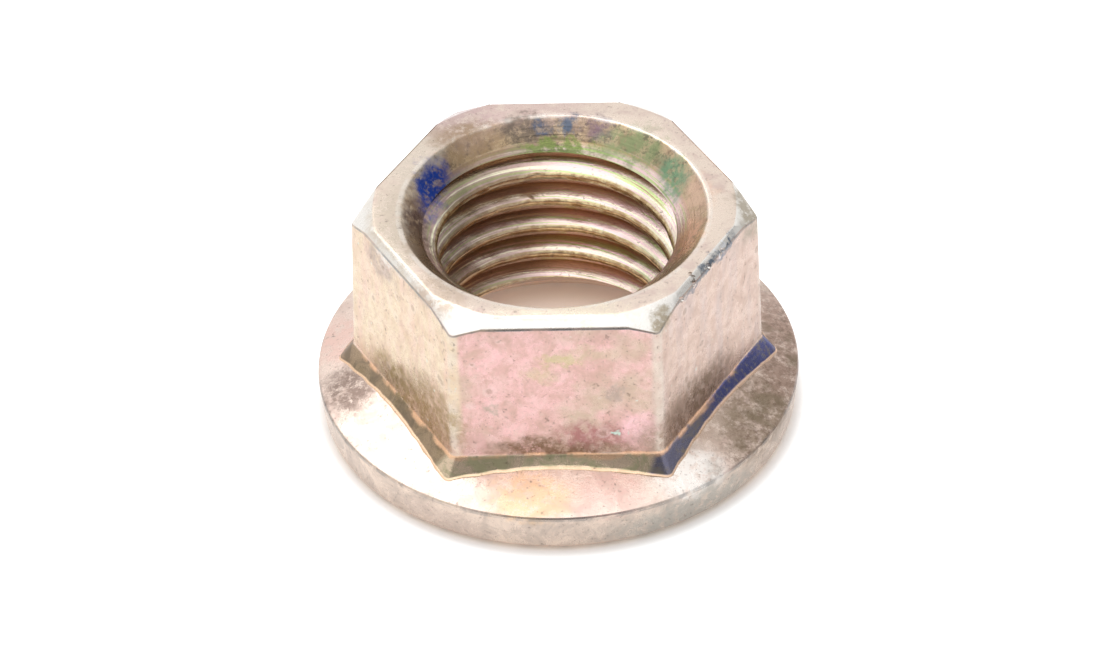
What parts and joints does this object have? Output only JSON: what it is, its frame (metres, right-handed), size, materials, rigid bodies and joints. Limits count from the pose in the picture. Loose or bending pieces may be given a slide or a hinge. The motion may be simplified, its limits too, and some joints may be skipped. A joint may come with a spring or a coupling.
{
  "type": "serrated flange nut",
  "caption": "Hexagon nut with a built-in conical flange and ratchet serrations under it, which grip the surface it is tightened against",
  "frame": {"origin": "on the nut's axis, in the plane of the serration tips that it rests on", "axes": "+Z along the nut's axis, from the bearing face to the plain end; two flats of the hexagon face -Y and +Y"},
  "size_m": [0.018, 0.018, 0.0089],
  "materials": {
    "yellow_zinc_steel": "bright zinc plating with a yellow iridescent chromate, worn at the edges"
  },
  "bodies": {
    "root": {"flange_nut": "yellow_zinc_steel"}
  },
  "joints": []
}
